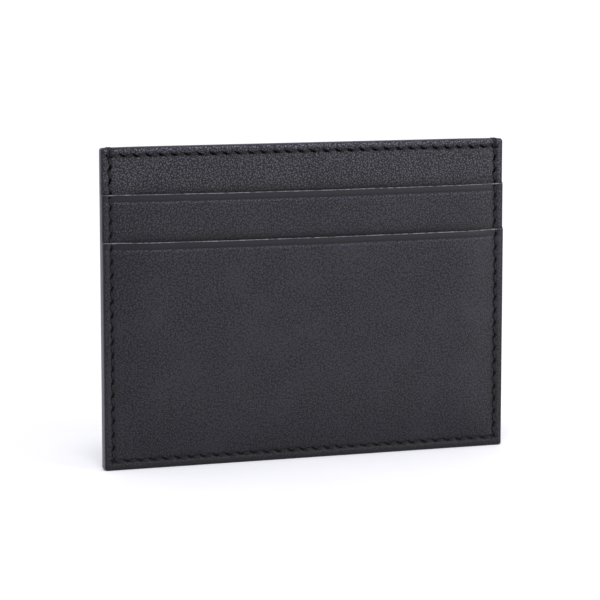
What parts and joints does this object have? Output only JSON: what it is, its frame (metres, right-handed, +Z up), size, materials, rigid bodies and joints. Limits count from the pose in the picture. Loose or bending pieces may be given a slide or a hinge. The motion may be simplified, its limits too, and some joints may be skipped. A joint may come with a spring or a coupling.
{
  "type": "card holder",
  "caption": "Flat leather card holder with stacked front card pockets and a centre pocket open at the top, sewn round its sides and bottom.",
  "frame": {"origin": "middle of the bottom edge, halfway through the thickness", "axes": "+X along the width to the right as seen from the front, +Z up to the open top, the pockets face -Y"},
  "size_m": [0.1, 0.006, 0.0752],
  "materials": {
    "leather": "fine-grained, satin",
    "lining": "woven twill",
    "thread": "bonded polyester thread",
    "edge_paint": "satin edge paint"
  },
  "bodies": {
    "root": {"back_panel": "leather", "back_lining": "lining", "front_lining": "lining", "front_panel": "leather", "upper_pocket": "leather", "upper_pocket_skirt": "lining", "lower_pocket": "leather", "skirt_floor_seam": "thread", "left_seam_needle_thread": "thread", "right_seam_needle_thread": "thread", "bottom_seam_needle_thread": "thread", "left_seam_bobbin_thread": "thread", "right_seam_bobbin_thread": "thread", "bottom_seam_bobbin_thread": "thread", "front_top_seam_needle_thread": "thread", "front_top_seam_bobbin_thread": "thread", "back_top_seam_needle_thread": "thread", "back_top_seam_bobbin_thread": "thread", "left_top_corner_wrap": "thread", "right_top_corner_wrap": "thread", "left_edge_paint": "edge_paint", "right_edge_paint": "edge_paint", "bottom_edge_paint": "edge_paint", "front_top_edge_paint": "edge_paint", "back_top_edge_paint": "edge_paint", "upper_mouth_edge_paint": "edge_paint", "lower_mouth_edge_paint": "edge_paint"}
  },
  "joints": []
}
